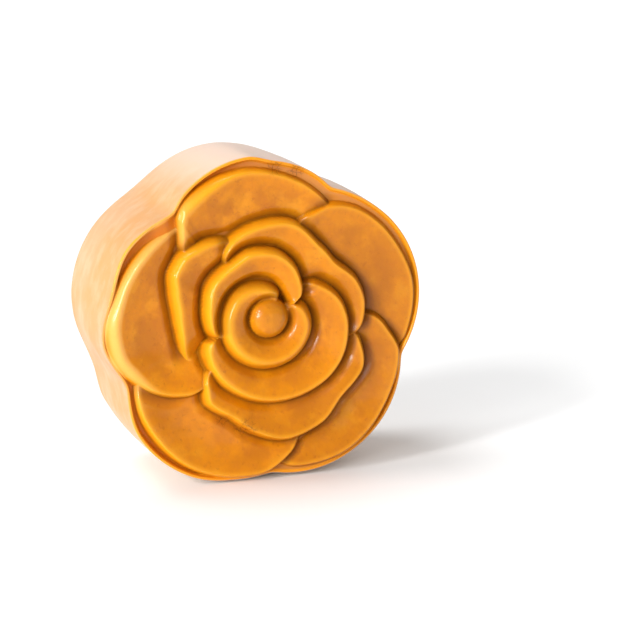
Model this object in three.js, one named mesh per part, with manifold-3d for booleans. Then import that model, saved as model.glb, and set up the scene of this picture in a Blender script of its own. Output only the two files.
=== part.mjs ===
// A rose-moulded mooncake, standing on its edge with the rose facing the front.
//
// Millimetres, +Z up, +X to the right, the rose facing -Y. The cake is one solid: a five-lobed
// body with a raised lip round its front, and a rose whose petals are shallow bowls, each one
// standing a little higher than the one outside it. Directions are in degrees, counterclockwise
// from +X as the rose is looked at. A reach is a distance from the middle of the rose, and a relief
// is a height in front of the plane of the lip.

import * as THREE from 'three';
import { mergeVertices } from 'three/addons/utils/BufferGeometryUtils.js';
import Module from 'manifold-3d';

const FULL_TURN = 360;

// Driving sizes
const WIDTH = 76; // across the lobes, before the dough went uneven
const THICKNESS = 35; // from the plane of the lip to the base
const RADIUS = WIDTH / 2;
const WALL_BULGE = 1; // how far the wall swells past the lip
const BULGE_DEPTH = 0.62 * THICKNESS; // where it swells most
const BASE_ROUND = 5; // radius of the edge round the base
const STANDING_CUT = 0.6; // how much the cake has settled where it stands
const ROSE = new THREE.Vector2(-1.4, 2.5); // middle of the rose, from the middle of the cake
const BUD = new THREE.Vector2(-0.6, 2.4); // middle of the bud, from the middle of the cake

// The five lobes: direction, reach and radius of each from the middle of the cake, and the turn
// that its back end has drifted by where the dough has pulled
const LOBES = [
  { direction: 25, reach: 1.013 * RADIUS, radius: 0.67 * RADIUS, drift: 0 },
  { direction: 97.5, reach: 1.0 * RADIUS, radius: 0.61 * RADIUS, drift: 0.5 },
  { direction: 167, reach: 1.008 * RADIUS, radius: 0.67 * RADIUS, drift: -5.5 },
  { direction: 232, reach: 0.989 * RADIUS, radius: 0.72 * RADIUS, drift: 1.5 },
  { direction: 307, reach: 0.995 * RADIUS, radius: 0.67 * RADIUS, drift: 0 },
];
const FOLD_SOFTNESS = 0.35; // rounds the folds between lobes at the lip
const FOLD_FADING = 1.6; // how much softer they are at the base

// How uneven the dough is, as [direction, distance] from the middle of the cake: what is added to
// the outline at the lip and at the base, how far the lip has sunk, and the relief of the floor of
// the groove inside it
const UNEVEN_LIP = closedCurve([
  [42, -0.4], [72, 0.4], [88, 0.1], [98, 1.2], [122, 1.3], [133, 0.6], [148, 1.0],
  [166, -0.4], [183, 1.1], [197, -0.1], [218, 1.5], [240, 1.1], [258, 0.2],
]);
const UNEVEN_BASE = closedCurve([
  [0, 0], [100, -0.2], [170, 0], [201, -1], [214, -0.1], [230, -0.3], [275, 0],
]);
const LIP_DROP = closedCurve([
  [15, 0.2], [60, 0.3], [97, 0], [133, 0.4], [150, 0], [164, 0.3], [182, 1.2],
  [194, 1.1], [203, 0.5], [215, 0.1], [245, 0.2], [262, 0.9], [300, 1.1], [330, 0.5],
]);
const GROOVE_FLOOR = closedCurve([
  [20, -0.8], [50, -0.7], [85, -0.6], [110, -1.3], [128, -0.8], [135, -0.2],
  [142, -0.9], [155, -1.4], [168, -1.2], [185, -1.7], [200, -1.4], [207, -1.0],
  [235, -1.6], [255, -1.2], [270, -0.5], [300, -0.7], [345, -0.8],
]);

// The lip
const LIP_WIDTH = 0.65;
const LIP_ROUND = 0.3;
const LIP_SLOPE = 0.35; // width of its slope into the groove
const GROOVE_REACH = RADIUS - LIP_WIDTH - LIP_SLOPE;
const MIDDLE_FLOOR = -1; // relief of the ground under the middle of the rose

// The rings of petals: height of the crest, width and fall of the flank outside it and the power
// of the flank's curve, and dip and length of the bowl inside it and how hollow it is
const OUTER = { crest: 1.0, flank: 1.2, fall: 2.4, power: 1.4, dip: 2.0, slope: 9, hollow: 0.8 };
const MIDDLE = { crest: 2.0, flank: 1.4, fall: 2.9, power: 1.5, dip: 1.9, slope: 6, hollow: 0.5 };
const SWEEP = { crest: 2.8, flank: 1.5, fall: 3.0, power: 1.6, dip: 2.0, slope: 7, hollow: 0.1 };
const CURL = { crest: 3.4, flank: 1.5, fall: 3.0, power: 1.6, dip: 1.9, slope: 5, hollow: 0.3 };
const COIL = { crest: 3.6, flank: 2.3, fall: 3.1, power: 1.9, dip: 1.8, slope: 4, hollow: -0.3 };

// Each petal has its ring and its edge, as [direction, reach] from one visible end to the other.
// Its tucks are directions where the crest goes under a neighbour, with how far it drops there.
// Its flanks are directions with the width of the flank where it isn't the ring's.
const LOWER_RIGHT = {
  ring: OUTER,
  edge: [[271, 33], [285, 38], [304, 39.6], [330, 37.4], [343, 35.4], [351, 31.5], [357, 28], [0, 24]],
  tucks: [[278, 0.7]],
};
const LOWER_LEFT = {
  ring: OUTER,
  edge: [[198, 30], [207, 34.2], [220, 36.8], [246, 38.9], [268, 37.7], [281, 34], [289, 29.8], [293, 26]],
  tucks: [[202, 0.7]],
};
const LEFT = {
  ring: OUTER,
  edge: [
    [122, 27], [143, 31.8], [156, 33.8], [168, 35.3], [182, 36.8], [192, 36.3], [200, 34.6],
    [209, 31.7], [222, 26.4], [229, 22],
  ],
  tucks: [[128, 1.6]],
  flanks: [[134, 1.3], [150, 1.7], [165, 2.1], [182, 2.9], [198, 2.8], [212, 1.2]],
};
const TOP = {
  ring: OUTER,
  edge: [
    [44, 29], [60, 30.5], [75, 32.4], [99, 34.2], [121, 33.4], [127, 32.6], [130.5, 31.3],
    [133.5, 29.3], [137, 27.2], [141, 25.3], [150, 21],
  ],
  tucks: [[46, 0.6]],
  flanks: [[98, 1.2], [112, 2.3], [122, 2.9], [128, 2.3], [134, 1.3], [150, 1.1]],
};
const RIGHT = {
  ring: OUTER,
  edge: [[338, 31], [348, 36.3], [8, 37.6], [26, 36.2], [45, 33.7], [57, 30.4], [63, 27.2], [69, 23.6]],
  tucks: [[350, 0.7]],
};
const MIDDLE_LEFT = {
  ring: MIDDLE,
  edge: [
    [107, 19], [117, 21], [130, 23.3], [144, 25.2], [152, 25.1], [162, 23.4], [176, 21.4],
    [190, 20.7], [206, 20.9], [211, 20],
  ],
  tucks: [[112, 0.6], [214, 3.4]],
  flanks: [[120, 1.3], [140, 1.9], [165, 2.0], [195, 1.3]],
};
const MIDDLE_BOTTOM = {
  ring: MIDDLE,
  edge: [
    [221, 19.1], [228, 22.1], [236, 24.2], [250, 24.9], [264, 27.6], [283, 30.3], [298, 30],
    [315, 28], [329, 28.3], [344, 25], [352, 21],
  ],
  tucks: [[350, 0.7]],
};
const MIDDLE_TOP = {
  ring: MIDDLE,
  edge: [
    [344, 22.6], [354, 24.6], [5, 25], [18, 24.1], [38, 21.2], [50, 21.3], [73, 23],
    [92, 21.9], [114, 20.1], [124, 18.1], [129, 15.6],
  ],
};
const SWEEPING = {
  ring: SWEEP,
  edge: [
    [200, 15.2], [218, 17.3], [249, 19.1], [284, 20.8], [325, 22.1], [350, 21], [8, 19.2],
    [26, 16.1], [42, 12.4],
  ],
  tucks: [[46, 0.7]],
};
const CRESCENT = {
  ring: CURL,
  edge: [
    [18, 7.6], [31, 10.6], [47, 12.5], [63, 14.3], [84, 15.9], [104, 16.3], [122, 15.7],
    [145, 16], [165, 15.1], [188, 14.1], [203, 12.2],
  ],
  tucks: [[205, 0.7]],
};
const COILED = {
  ring: COIL,
  closed: true,
  edge: [
    [32, 8], [44, 6], [57, 6.8], [70, 7.6], [96, 8.5], [136, 9.9], [186, 10.9], [234, 11.6],
    [302, 12.3], [341, 11.8], [11, 10.3],
  ],
  tucks: [[40, 1.2]],
};

// The petals in the order they lie, lowest first. The upper end of the lower right one comes back
// over the right one, and the crescent comes back over the coil, along an inner edge of its own.
const PETALS = [
  LOWER_RIGHT,
  LOWER_LEFT,
  LEFT,
  TOP,
  RIGHT,
  { ...LOWER_RIGHT, shownFrom: 312 },
  MIDDLE_LEFT,
  MIDDLE_BOTTOM,
  MIDDLE_TOP,
  SWEEPING,
  CRESCENT,
  COILED,
  { ...CRESCENT, inner: [[18, 5.4], [37, 6], [50, 6.5], [62, 7.4], [83, 8.8], [108, 9.7], [185, 11.4]] },
];
const TUCK_SPREAD = 26; // over how many degrees either way a crest sinks where it goes under
const HIDDEN_REACH = 8; // a petal's own edge where other petals cover it
const HIDDEN_STEP = 7; // degrees from the visible end to that reach
const HIDDEN_DROP = 4; // how far it sinks there
const END_FADING = 11; // degrees over which a bowl stops clearing what is under it
const STEEPEST = 0.4; // least cosine of the lean of an edge, where it runs in towards the middle
const CREST_BLEND = 0.45; // rounds the crest
const INNER_FLANK = 1.6; // width of the rounded inner edge of a petal that lies over the next
const INNER_FALL = 1.8;
const NARROWEST = 1.5; // least width of such a petal where it is hidden
const INNERMOST = 0.15; // least share of the way from the inner edge to the crest left to the bowl

// The bud: a button with a flat top and rounded shoulders
const BUD_RADIUS = 4.6;
const BUD_CREST = 3.8;
const BUD_FALL = 2.6;
const BUD_POWER = 3.6;

// Fineness
const BODY_STEPS = 120;
const WALL_SHARES = [0.62, 0.32, 0.12]; // of the way to the base
const PETAL_STEPS = 72;
// Rows of a petal's section: 3 at the foot of the flank, 2 at the crest, 1 where the slope of the
// bowl ends, and 0 at the inner edge or the middle of the rose
const FLANK_ROWS = [3, 2.66, 2.33];
const BOWL_ROWS = [2, 1.88, 1.7, 1.4, 1];
const BUD_SHARES = [1, 0.94, 0.84, 0.68, 0.45, 0]; // of the bud's radius
const BUD_STEPS = 24;
const ROOT_RELIEF = -4; // how deep the petals are rooted in the body
const SKY_RELIEF = 8; // clear of every petal
const TRIM = 0.3; // how far below a petal's bowl the petals under it are cleared away
const BOX_SIDE = 2 * WIDTH;

/** A point seen from the front, a given distance from the origin in a given direction. */
function ahead(direction, distance) {
  const angle = THREE.MathUtils.degToRad(direction);
  return new THREE.Vector2(Math.cos(angle), Math.sin(angle)).multiplyScalar(distance);
}

/** Degrees from a middle direction, between -180 and 180. */
function directionFrom(direction, middle) {
  return THREE.MathUtils.euclideanModulo(direction - middle + FULL_TURN / 2, FULL_TURN) - FULL_TURN / 2;
}

/** The larger of two values, rounded up where they cross. */
function smoothMax(first, second, blend) {
  const short = Math.max(0, blend - Math.abs(first - second));
  return Math.max(first, second) + short ** 2 / (4 * blend);
}

/** A smooth closed curve over direction through its knots, which never overshoots them. */
function closedCurve(knots) {
  const count = knots.length;
  const rising = knots.map(([direction]) => direction + (direction < knots[0][0] ? FULL_TURN : 0));
  const direction = (k) => rising[(k + count) % count] + FULL_TURN * Math.floor(k / count);
  const value = (k) => knots[(k + count) % count][1];
  const rise = (k) => (value(k + 1) - value(k)) / (direction(k + 1) - direction(k));
  const slope = (k) => {
    const product = rise(k - 1) * rise(k);
    return product > 0 ? (2 * product) / (rise(k - 1) + rise(k)) : 0;
  };
  return (asked) => {
    const start = direction(0);
    const turned = start + THREE.MathUtils.euclideanModulo(asked - start, FULL_TURN);
    let k = 0;
    while (direction(k + 1) <= turned) k += 1;
    const step = direction(k + 1) - direction(k);
    const t = (turned - direction(k)) / step;
    const ease = t * t * (3 - 2 * t);
    const leaving = slope(k) * step * t * (1 - t) ** 2;
    const arriving = slope(k + 1) * step * t * t * (t - 1);
    return value(k) + (value(k + 1) - value(k)) * ease + leaving + arriving;
  };
}

/** Reach of the body's outline from the middle of the cake, at a share of the way to the base. */
function outline(direction, share) {
  const reaches = LOBES.map((lobe) => {
    const middle = lobe.reach - lobe.radius;
    const angle = THREE.MathUtils.degToRad(direction - lobe.direction - lobe.drift * share);
    const across = middle * Math.sin(angle);
    return middle * Math.cos(angle) + Math.sqrt(lobe.radius ** 2 - across ** 2);
  });
  const softness = FOLD_SOFTNESS + FOLD_FADING * share;
  const largest = Math.max(...reaches);
  const blend = reaches.reduce((sum, reach) => sum + Math.exp((reach - largest) / softness), 0);
  const uneven = THREE.MathUtils.lerp(UNEVEN_LIP(direction), UNEVEN_BASE(direction), share);
  return largest + softness * Math.log(blend) + uneven;
}

/** How far the wall stands out past the lip at a depth behind it. */
function bulge(depth) {
  const share = THREE.MathUtils.clamp((depth - LIP_ROUND) / (BULGE_DEPTH - LIP_ROUND), 0, 2);
  return WALL_BULGE * share * (2 - share);
}

/** The edge of a petal as a reach over direction, closed under the petals that cover it. */
function petalEdge(petal) {
  if (petal.closed) return closedCurve(petal.edge);
  const [first, last] = [petal.edge[0][0] - HIDDEN_STEP, petal.edge.at(-1)[0] + HIDDEN_STEP];
  return closedCurve([[first, HIDDEN_REACH], ...petal.edge, [last, HIDDEN_REACH]]);
}

/** How many degrees a direction is past the nearer visible end of a petal, below 0 between them. */
function beyond(petal, direction) {
  if (petal.closed) return -FULL_TURN;
  const first = petal.shownFrom ?? petal.edge[0][0];
  const half = THREE.MathUtils.euclideanModulo(petal.edge.at(-1)[0] - first, FULL_TURN) / 2;
  return Math.abs(directionFrom(direction, first + half)) - half;
}

/** Cosine of the angle between the outward radius and the way the edge faces. */
function lean(reachAt, direction) {
  const change = (reachAt(direction + 0.5) - reachAt(direction - 0.5)) / THREE.MathUtils.degToRad(1);
  return Math.max(STEEPEST, 1 / Math.hypot(1, change / reachAt(direction)));
}

/** How far a petal sinks past its ends and where it goes under its neighbours. */
function sink(petal, direction) {
  const hidden = HIDDEN_DROP * THREE.MathUtils.smoothstep(beyond(petal, direction), 0, HIDDEN_STEP);
  return (petal.tucks ?? []).reduce((drop, [middle, depth]) => {
    const share = Math.min(1, Math.abs(directionFrom(direction, middle)) / TUCK_SPREAD);
    return drop + (depth * (1 + Math.cos(Math.PI * share))) / 2;
  }, hidden);
}

/** How far a rounded edge has fallen, at a share of its width in from its foot. */
function edgeFall(fall, share, power) {
  return fall * (1 - THREE.MathUtils.clamp(share, 0, 1)) ** power;
}

/** Depth of a petal's section below its crest, at a distance inside its foot. */
function petalDepth(ring, inside, flank) {
  const share = THREE.MathUtils.clamp((inside - flank) / ring.slope, -1, 1);
  const bowl = ring.dip * share * (1 + ring.hollow - ring.hollow * Math.max(0, share));
  return smoothMax(edgeFall(ring.fall, inside / flank, ring.power), bowl, CREST_BLEND);
}

/** Where a point of a petal's section lies: its distance from the middle and its relief there. */
function petalPlacer(petal) {
  const { ring } = petal;
  const reachAt = petalEdge(petal);
  const flankAt = petal.flanks ? closedCurve(petal.flanks) : () => ring.flank;
  const innerAt = petal.inner ? closedCurve(petal.inner) : () => 0;
  return (direction, row) => {
    if (row === 0 && !petal.inner) return [0, ring.crest - ring.dip];
    const [inner, flank, cosine] = [innerAt(direction), flankAt(direction), lean(reachAt, direction)];
    const reach = Math.max(reachAt(direction), inner + NARROWEST);
    const crest = Math.max(inner + NARROWEST / 2, reach - flank / cosine);
    const low = Math.max(THREE.MathUtils.lerp(inner, crest, INNERMOST), crest - ring.slope / cosine);
    const stops = [inner, low, crest, reach];
    const from = Math.min(Math.floor(row), 2);
    const distance = THREE.MathUtils.lerp(stops[from], stops[from + 1], row - from);
    const depth = petalDepth(ring, (reach - distance) * cosine, flank);
    const innerDepth = petal.inner ? edgeFall(INNER_FALL, (distance - inner) / INNER_FLANK, ring.power) : 0;
    return [distance, ring.crest - sink(petal, direction) - depth - innerDepth];
  };
}

/** A solid turned from a profile of [radius, relief], with each vertex then put in its place. */
function turned(profile, steps, place) {
  const points = profile.map(([radius, relief]) => new THREE.Vector2(radius, relief));
  const geometry = new THREE.LatheGeometry(points, steps);
  geometry.rotateX(Math.PI);
  const position = geometry.getAttribute('position');
  for (let i = 0; i < position.count; i += 1) {
    const [x, y, z] = [position.getX(i), position.getY(i), position.getZ(i)];
    const direction = THREE.MathUtils.radToDeg(Math.atan2(z, x));
    const placed = place(direction, Math.hypot(x, z), -y);
    position.setXYZ(i, placed.x, placed.y, placed.z);
  }
  return geometry;
}

/** A geometry as a manifold solid. */
function solid(wasm, geometry) {
  const bare = geometry.clone();
  bare.deleteAttribute('normal');
  bare.deleteAttribute('uv');
  const merged = mergeVertices(bare);
  const { array } = merged.index;
  const triangles = [];
  for (let i = 0; i < array.length; i += 3) {
    const [a, b, c] = array.slice(i, i + 3);
    if (a !== b && b !== c && c !== a) triangles.push(a, b, c);
  }
  const vertProperties = new Float32Array(merged.getAttribute('position').array);
  const triVerts = new Uint32Array(triangles);
  return new wasm.Manifold(new wasm.Mesh({ numProp: 3, vertProperties, triVerts }));
}

/** The body: base, rounded edge, swelling wall, lip, groove and the ground the rose grows from. */
function bodyGeometry() {
  const profile = [[0, -THICKNESS]];
  for (const turn of [-90, -60, -30, 0]) {
    const corner = ahead(turn, BASE_ROUND);
    profile.push([RADIUS - BASE_ROUND + corner.x, BASE_ROUND - THICKNESS + corner.y]);
  }
  for (const share of WALL_SHARES) profile.push([RADIUS, -share * THICKNESS]);
  for (const turn of [0, 45, 90]) {
    const corner = ahead(turn, LIP_ROUND);
    profile.push([RADIUS - LIP_ROUND + corner.x, corner.y - LIP_ROUND]);
  }
  profile.push([RADIUS - LIP_WIDTH, 0], [GROOVE_REACH, 0], [0, 0]);
  return turned(profile, BODY_STEPS, (direction, radius, relief) => {
    const depth = Math.max(0, -relief);
    const inset = RADIUS - radius;
    const edge = outline(direction, depth / THICKNESS) + bulge(depth);
    const inner = (edge - BASE_ROUND) * (radius / (RADIUS - BASE_ROUND));
    const place = ahead(direction, inset <= BASE_ROUND ? edge - inset : inner);
    const drop = LIP_DROP(direction);
    if (radius === 0) return new THREE.Vector3(0, depth > 0 ? THICKNESS : -MIDDLE_FLOOR, 0);
    if (depth === 0 && inset > LIP_WIDTH + LIP_SLOPE / 2) {
      return new THREE.Vector3(place.x, -GROOVE_FLOOR(direction), place.y);
    }
    return new THREE.Vector3(place.x, drop + depth * (1 - drop / THICKNESS), place.y);
  });
}

/** One petal, from its root in the body to its bowl. */
function petalGeometry(petal) {
  const place = petalPlacer(petal);
  const hole = petal.inner ? 1 : 0;
  const rows = [...FLANK_ROWS, ...BOWL_ROWS, 0].map((row) => [row + hole, 0]);
  const profile = [[hole, ROOT_RELIEF], [FLANK_ROWS[0] + hole, ROOT_RELIEF], ...rows];
  if (petal.inner) profile.push([hole, ROOT_RELIEF]);
  return turned(profile, PETAL_STEPS, (direction, radius, relief) => {
    const [distance, height] = place(direction, Math.max(0, radius - hole));
    const point = ahead(direction, distance).add(ROSE);
    return new THREE.Vector3(point.x, relief === ROOT_RELIEF ? -ROOT_RELIEF : -height, point.y);
  });
}

/** The room over a petal's bowl, which the petals under it are kept out of. */
function roomGeometry(petal) {
  const place = petalPlacer(petal);
  const floor = [0, ...BOWL_ROWS.toReversed()].map((row) => [row, 0]);
  const profile = [...floor, [BOWL_ROWS[0], SKY_RELIEF], [0, SKY_RELIEF]];
  return turned(profile, PETAL_STEPS, (direction, row, relief) => {
    const [distance, height] = place(direction, row);
    const fading = row === 0 ? 0 : 1 - THREE.MathUtils.smoothstep(-beyond(petal, direction), 0, END_FADING);
    const low = THREE.MathUtils.lerp(height, SKY_RELIEF, fading) - TRIM;
    const point = ahead(direction, distance).add(ROSE);
    return new THREE.Vector3(point.x, relief === SKY_RELIEF ? -SKY_RELIEF : -low, point.y);
  });
}

/** The bud in the middle of the rose. */
function budGeometry() {
  const top = BUD_SHARES.map((share) => [share * BUD_RADIUS, BUD_CREST - BUD_FALL * share ** BUD_POWER]);
  const profile = [[0, ROOT_RELIEF], [BUD_RADIUS, ROOT_RELIEF], ...top];
  return turned(profile, BUD_STEPS, (direction, radius, relief) => {
    const place = ahead(direction, radius).add(BUD);
    return new THREE.Vector3(place.x, -relief, place.y);
  });
}

/** The whole cake: the rose joined to the body, and the edge settled flat where it stands. */
function cakeGeometry(wasm) {
  let cake = solid(wasm, bodyGeometry());
  for (const petal of PETALS) {
    if (!petal.inner) cake = cake.subtract(solid(wasm, roomGeometry(petal)));
    cake = cake.add(solid(wasm, petalGeometry(petal)));
  }
  cake = cake.add(solid(wasm, budGeometry()));

  const low = cake.boundingBox().min[2];
  const below = new THREE.BoxGeometry(BOX_SIDE, BOX_SIDE, BOX_SIDE);
  below.translate(0, 0, low + STANDING_CUT - BOX_SIDE / 2);
  cake = cake.subtract(solid(wasm, below));

  const mesh = cake.getMesh();
  const geometry = new THREE.BufferGeometry();
  geometry.setAttribute('position', new THREE.BufferAttribute(new Float32Array(mesh.vertProperties), 3));
  geometry.setIndex(new THREE.BufferAttribute(new Uint32Array(mesh.triVerts), 1));
  geometry.computeBoundingBox();
  const middle = geometry.boundingBox.getCenter(new THREE.Vector3());
  geometry.translate(-middle.x, -middle.y, -geometry.boundingBox.min.z);
  geometry.computeVertexNormals();
  return geometry;
}

const wasm = await Module();
wasm.setup();

const crust = new THREE.MeshStandardMaterial({ color: 0xe19a3c, roughness: 0.42, metalness: 0 });
const mooncake = new THREE.Mesh(cakeGeometry(wasm), crust);
mooncake.name = 'mooncake';

const model = new THREE.Group();
model.add(mooncake);

export default model;
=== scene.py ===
"""A rose-moulded mooncake that stands on its edge, modelled and dressed for rendering.

Lengths are millimetres until a mesh is written, which is in metres. The working frame has its
origin in the middle of the plane of the lip, x to the right, z up and the rose towards -y, so
relief is measured towards -y and depth towards +y. Directions are angles from +x towards +z.
"""

import logging
from dataclasses import dataclass, field, replace
from enum import Enum
from functools import cached_property
from typing import ClassVar

import bpy
import numpy as np
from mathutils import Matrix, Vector


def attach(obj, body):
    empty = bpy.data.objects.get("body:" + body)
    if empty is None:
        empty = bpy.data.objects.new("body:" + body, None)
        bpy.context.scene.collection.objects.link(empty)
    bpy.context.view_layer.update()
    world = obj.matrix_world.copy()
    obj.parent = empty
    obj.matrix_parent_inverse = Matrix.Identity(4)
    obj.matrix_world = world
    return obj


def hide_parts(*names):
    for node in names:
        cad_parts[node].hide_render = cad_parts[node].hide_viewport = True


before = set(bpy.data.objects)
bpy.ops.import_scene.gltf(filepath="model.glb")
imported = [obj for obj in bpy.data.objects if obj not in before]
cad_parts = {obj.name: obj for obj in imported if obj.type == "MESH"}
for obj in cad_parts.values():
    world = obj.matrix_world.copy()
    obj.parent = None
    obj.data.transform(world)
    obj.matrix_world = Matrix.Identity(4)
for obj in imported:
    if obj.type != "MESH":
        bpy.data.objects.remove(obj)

LOG = logging.getLogger("mooncake")
MM = 0.001
FULL_TURN = 360.0
Array = np.ndarray
Colour = tuple[float, float, float]
Span = tuple[float, float]
Noise = tuple[float, float]
Socket = bpy.types.NodeSocket
Wires = dict[str | int, object]


# Shared functions


def smoothstep(value: Array, low: float, high: float) -> Array:
    """Ease from 0 at low to 1 at high: 3 t squared less 2 t cubed, where t is the share of the way.

    Args:
        value: Values to ease.
        low: Where the result is 0.
        high: Where the result is 1.

    Returns:
        Eased values between 0 and 1.
    """
    share = np.clip((value - low) / (high - low), 0.0, 1.0)
    return share * share * (3.0 - 2.0 * share)


def smooth_max(first: Array, second: Array, blend: float) -> Array:
    """Larger of two heights with a fillet where they meet.

    The larger one, plus the square of what the gap between them falls short of the blend,
    divided by four times the blend.

    Args:
        first: Heights of one surface.
        second: Heights of the other surface.
        blend: Gap at which the fillet begins.

    Returns:
        Blended heights.
    """
    short = np.clip(blend - np.abs(first - second), 0.0, None)
    return np.maximum(first, second) + short * short / (4.0 * blend)


def between(ends: Span, share: Array) -> Array:
    """Values at a share of the way from the first end to the second."""
    return ends[0] + (ends[1] - ends[0]) * share


def cosine(degrees: Array) -> Array:
    """Cosine of an angle in degrees."""
    return np.cos(np.radians(degrees))


def sine(degrees: Array) -> Array:
    """Sine of an angle in degrees."""
    return np.sin(np.radians(degrees))


def direction_of(x: Array, z: Array) -> Array:
    """Direction of a place in degrees."""
    return np.degrees(np.arctan2(z, x))


def direction_from(direction: Array, middle: float) -> Array:
    """Degrees from a middle direction, between -180 and 180."""
    return np.mod(direction - middle + FULL_TURN / 2.0, FULL_TURN) - FULL_TURN / 2.0


def toward(azimuth: float, elevation: float) -> Vector:
    """Unit vector to a far place, given in degrees left of the front and degrees up."""
    flat = cosine(elevation)
    return Vector((-sine(azimuth) * flat, -cosine(azimuth) * flat, sine(elevation)))


def srgb(red: int, green: int, blue: int) -> Colour:
    """Linear colour of a display colour given in 0 to 255.

    Args:
        red: Display red.
        green: Display green.
        blue: Display blue.

    Returns:
        The linear red, green and blue.
    """
    shares = np.array([red, green, blue]) / 255.0
    low = shares / 12.92
    high = ((shares + 0.055) / 1.055) ** 2.4
    values = np.where(shares <= 0.04045, low, high)
    return (float(values[0]), float(values[1]), float(values[2]))


class Ripple:
    """Gentle unevenness: a sum of waves, each with its own seeded heading, length and phase."""

    lengths = (0.65, 1.6)

    def __init__(self, seed: int, pitch: float, waves: int = 9) -> None:
        """Draws the waves.

        Args:
            seed: Seed of the draw.
            pitch: Middle wavelength in millimetres.
            waves: How many waves are summed.
        """
        draw = np.random.default_rng(seed)
        heading = draw.normal(size=(waves, 3))
        heading /= np.linalg.norm(heading, axis=1, keepdims=True)
        length = pitch * draw.uniform(*self.lengths, size=(waves, 1))
        self.heading = heading * (2.0 * np.pi / length)
        self.phase = draw.uniform(0.0, 2.0 * np.pi, size=waves)

    def __call__(self, points: Array) -> Array:
        """Sum of the sines of heading times place plus phase, scaled to about -1 to 1.

        Args:
            points: Places, with x, y and z in the last axis.

        Returns:
            One value for each place.
        """
        waves = np.sin(points @ self.heading.T + self.phase)
        return waves.sum(axis=-1) / np.sqrt(2.0 * len(self.phase))


class ClosedCurve:
    """A smooth closed curve over direction through knots, which never overshoots them.

    Between two knots it is a cubic whose end slopes are the harmonic means of the rises on either
    side of each knot, and 0 where the rise changes sign.
    """

    def __init__(self, knots: list[tuple[float, float]]) -> None:
        """Works out the slopes.

        Args:
            knots: Directions in degrees, which rise or wrap round once, and their values.
        """
        directions = np.array([knot[0] for knot in knots], float)
        values = np.array([knot[1] for knot in knots], float)
        wraps = np.concatenate([[0.0], np.cumsum(np.diff(directions) < 0.0)])
        directions = directions + FULL_TURN * wraps
        self.start = directions[0]
        self.direction = np.append(directions, directions[0] + FULL_TURN)
        self.value = np.append(values, values[0])
        rise = np.diff(self.value) / np.diff(self.direction)
        before = np.roll(rise, 1)
        product = before * rise
        total = np.where(product > 0.0, before + rise, 1.0)
        slope = np.where(product > 0.0, 2.0 * product / total, 0.0)
        self.slope = np.append(slope, slope[0])

    def __call__(self, direction: Array) -> Array:
        """Value of the curve.

        Args:
            direction: Directions in degrees.

        Returns:
            The curve's value in each direction.
        """
        turned = self.start + np.mod(direction - self.start, FULL_TURN)
        spans = len(self.direction) - 1
        k = np.clip(np.searchsorted(self.direction, turned, side="right") - 1, 0, spans - 1)
        step = self.direction[k + 1] - self.direction[k]
        t = (turned - self.direction[k]) / step
        ease = t * t * (3.0 - 2.0 * t)
        leaving = self.slope[k] * step * t * (1.0 - t) ** 2
        arriving = self.slope[k + 1] * step * t * t * (t - 1.0)
        return self.value[k] + (self.value[k + 1] - self.value[k]) * ease + leaving + arriving


# The body


@dataclass(frozen=True)
class Lobe:
    """One lobe of the outline: where it points, its reach and radius, and its turn at the base."""

    direction: float
    reach: float
    radius: float
    drift: float = 0.0


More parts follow.
